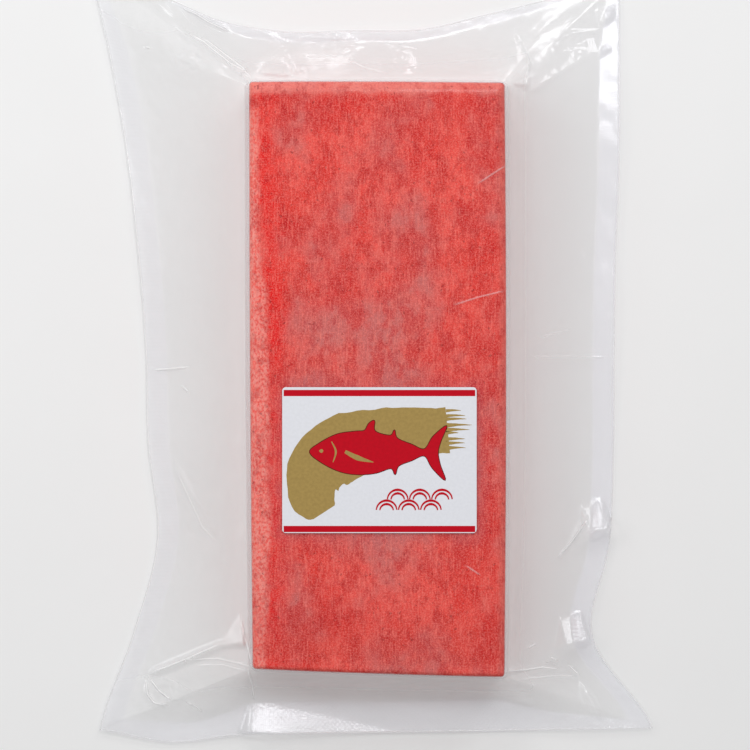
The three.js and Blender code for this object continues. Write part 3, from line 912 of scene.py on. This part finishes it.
eye = smoothOutline([(-16.9, 2.6), (-16.2, 3.1), (-15.7, 2.6), (-16.2, 2.0)][::-1], 5)
waves = []
waveTurns = np.linspace(0.1, math.pi - 0.1, 9)
for x, y in label["waveFeet"]:
    for radius in label["waveRadii"]:
        arc = [(x + radius * math.cos(a), y + radius * math.sin(a)) for a in waveTurns]
        waves.append(stroke(arc, label["waveWidths"]))


def swollen(outline, amount):  # the outline moved outwards
    run = np.roll(outline, -1, axis=0) - np.roll(outline, 1, axis=0)
    out = np.column_stack([run[:, 1], -run[:, 0]]) / np.maximum(np.linalg.norm(run, axis=1), 1e-6)[:, None]
    return outline + out * amount


halfWide = label["size"][0] / 2 - label["bandEnd"]
bands = [
    [(-halfWide, y), (halfWide, y), (halfWide, y + label["bandWidth"]), (-halfWide, y + label["bandWidth"])]
    for y in label["bandFeet"]
]
prints = [  # name, outlines, layer of ink, colour, roughness, fleck
    ("gold_brush_print", gold, 0, label["gold"], 0.45, 0.07),
    ("gold_bristle_print", bristles, 1, label["gold"], 0.45, 0.07),
    ("red_band_print", bands, 0, label["red"], 0.4, 0.04),
    ("fish_outline_print", [swollen(fish, label["outlineWidth"])], 1, label["outline"], 0.4, 0.04),
    ("red_fish_print", [fish], 2, label["red"], 0.4, 0.05),
    ("fish_detail_print", [fin, gill, eye], 3, label["gold"], 0.45, 0.07),
    ("red_wave_print", waves, 1, label["red"], 0.4, 0.04),
]
for name, outlines, layer, hexCode, roughness, fleck in prints:
    low = label["top"] + (layer - 1) * label["ink"]
    points, faces = plate(outlines, low, low + label["inkBody"] * label["ink"])
    ink = paperMaterial(name.replace("print", "ink"), hexCode, roughness, fleck)
    piece = meshObject(name, points, faces, ink)
    piece.data.polygons.foreach_set("use_smooth", [False] * len(faces))
    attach(piece, "root")
print("label print:", len(prints), "inks")


# Studio: a pale table, soft panels round the far left, and a pale surround

studio = {
    "floorHalf": 900.0,
    "table": "#F6F6F6",
    "tableRoughness": 0.7,
    "tableTone": (40, 0.005),   # size of the patches and how much their tone differs
    "distance": 850.0,          # of the panels from the middle
    # soft panels: direction from +X and height above the table in degrees, size in mm, radiance
    "panels": [
        (60, 37, 245, 4.0), (105, 37, 245, 4.0), (150, 37, 245, 4.0),
        (176, 32, 200, 4.0), (70, 65, 225, 6.4),
    ],
    "ceiling": {"place": (-40.0, 100.0, 1000.0), "size": 900.0, "radiance": 0.58},
    "surround": 0.42,
}


def tableMaterial():  # plain and pale, with a tone that hardly changes
    material, tree = newMaterial("matt_white_laminate")
    place = addNode(tree, "TexCoord").outputs["Object"]
    size, change = studio["tableTone"]
    tone = rangeNode(tree, patternNode(tree, place, size, size, 3, 5), 0.3, 0.7, 1 - change, 1 + change)
    pale = linearColour(studio["table"])[:3]
    colour = addNode(tree, "VectorMath", {0: pale}, {"Scale": tone}, operation="SCALE")
    surface = addNode(tree, "BsdfPrincipled", {"Roughness": studio["tableRoughness"]},
                      {"Base Color": colour.outputs[0]})
    addNode(tree, "OutputMaterial", links={"Surface": surface.outputs["BSDF"]})
    return material


half = studio["floorHalf"]
table = meshObject("table_top", [(-half, -half, 0), (half, -half, 0), (half, half, 0), (-half, half, 0)],
                   [(0, 1, 2, 3)], tableMaterial())

for direction, elevation, size, radiance in studio["panels"]:
    light = bpy.data.lights.new("panel", "AREA")
    light.size = size * mm
    light.energy = radiance * math.pi * light.size**2
    lamp = bpy.data.objects.new("panel", light)
    turn, lift = math.radians(direction), math.radians(elevation)
    level = math.cos(lift)
    lamp.location = Vector((math.cos(turn) * level, math.sin(turn) * level, math.sin(lift)))
    lamp.location *= studio["distance"] * mm
    lamp.rotation_euler = (-lamp.location).to_track_quat("-Z", "Y").to_euler()
    bpy.context.scene.collection.objects.link(lamp)

ceiling = bpy.data.lights.new("ceiling", "AREA")
ceiling.size = studio["ceiling"]["size"] * mm
ceiling.energy = studio["ceiling"]["radiance"] * math.pi * ceiling.size**2
lamp = bpy.data.objects.new("ceiling", ceiling)
lamp.location = Vector(studio["ceiling"]["place"]) * mm
bpy.context.scene.collection.objects.link(lamp)

world = bpy.data.worlds.new("surround")
world.use_nodes = True
world.node_tree.nodes["Background"].inputs["Color"].default_value = linearColour("#FFFFFF")
world.node_tree.nodes["Background"].inputs["Strength"].default_value = studio["surround"]
bpy.context.scene.world = world
bpy.context.scene.view_settings.view_transform = "Standard"
print("studio:", len(studio["panels"]), "panels and a ceiling light")


# Camera: straight above, with the photo's frame

camera = {
    "scale": 0.28,              # mm of the block's top for each pixel of the photo's 750
    "pixels": 750,
    "distance": 900.0,          # above the block's top
    "centre": (-0.84, 0.42),
    "sensor": 36.0,
}

cameraData = bpy.data.cameras.new("overhead")
cameraData.sensor_width = camera["sensor"]
cameraData.lens = camera["sensor"] * camera["distance"] / (camera["scale"] * camera["pixels"])
cameraPiece = bpy.data.objects.new("overhead", cameraData)
cameraPiece.location = Vector((*camera["centre"], camera["distance"] + blockPlan["height"])) * mm
bpy.context.scene.collection.objects.link(cameraPiece)
bpy.context.scene.camera = cameraPiece
print("camera:", round(cameraData.lens, 1), "mm lens")
